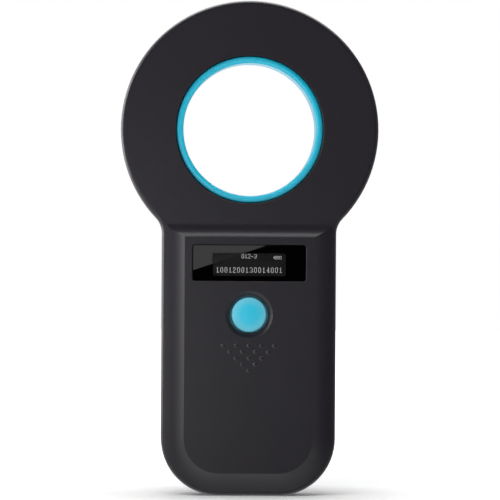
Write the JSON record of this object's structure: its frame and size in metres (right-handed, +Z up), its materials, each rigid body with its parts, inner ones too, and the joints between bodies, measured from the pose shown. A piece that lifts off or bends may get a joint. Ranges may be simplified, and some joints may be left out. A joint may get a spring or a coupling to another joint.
{
  "type": "microchip scanner",
  "caption": "Handheld pet microchip scanner with a ring-shaped reading head on a flat grip, a small display, a round scan button and a charging socket.",
  "frame": {"origin": "middle of the base: the scanner stands on the flat end of its grip at z = 0", "axes": "+Z up along the grip to the reading ring, -Y out of the display and button face, +Y out of the screwed back, X across"},
  "size_m": [0.0824, 0.027, 0.1583],
  "materials": {
    "shell_black": "matte",
    "ring_blue": "satin",
    "button_blue": "satin",
    "lens_clear": "gloss",
    "mask_black": "gloss",
    "display_glass": "gloss",
    "display_light": "satin",
    "ribbon_amber": "satin",
    "holder_black": "matte",
    "switch_black": "matte",
    "stem_brown": "satin",
    "spring_steel": "satin",
    "tinned_metal": "satin",
    "board_green": "satin",
    "pad_gold": "satin",
    "print_white": "matte",
    "chip_black": "matte",
    "ceramic_tan": "matte",
    "ferrite_grey": "matte",
    "solder": "satin",
    "screw_steel": "satin",
    "socket_steel": "satin",
    "bobbin_nylon": "satin",
    "winding_copper": "gloss",
    "battery_foil": "satin",
    "tape_amber": "satin",
    "tape_white": "matte",
    "connector_cream": "satin",
    "lead_red": "satin",
    "lead_black": "satin",
    "label_silver": "satin"
  },
  "bodies": {
    "housing": {"front_shell": "shell_black", "rear_shell": "shell_black", "ring_liner": "ring_blue", "display_lens": "lens_clear", "display_mask": "mask_black", "oled_panel": "display_glass", "oled_ribbon": "ribbon_amber", "display_holder": "holder_black", "switch_body": "switch_black", "switch_cover": "spring_steel", "switch_dome": "spring_steel", "switch_terminals": "tinned_metal", "main_board": "board_green", "microcontroller": "chip_black", "reader_chip": "chip_black", "memory_chip": "chip_black", "charge_chip": "chip_black", "chip_leads": "tinned_metal", "crystal": "tinned_metal", "power_inductor": "ferrite_grey", "chip_capacitors": "ceramic_tan", "chip_resistors": "chip_black", "sounder": "holder_black", "board_screws": "screw_steel", "case_screws": "screw_steel", "usb_shell": "socket_steel", "usb_tongue": "holder_black", "usb_contacts": "pad_gold", "coil_former": "bobbin_nylon", "antenna_coil": "winding_copper", "coil_leads": "winding_copper", "battery_pouch": "battery_foil", "battery_board": "board_green", "battery_tape": "tape_white", "battery_header": "connector_cream", "battery_plug": "connector_cream", "battery_lead_red": "lead_red", "battery_lead_black": "lead_black", "rear_label": "label_silver"},
    "button": {"button_cap": "button_blue", "switch_plunger": "stem_brown"}
  },
  "joints": [
    {"name": "button_press", "type": "slide", "parent": "housing", "child": "button", "axis": [0, 1, 0], "range_m": [0, 0.00035], "stiffness_N_per_m": 3000, "deforming": ["switch_dome"]}
  ]
}
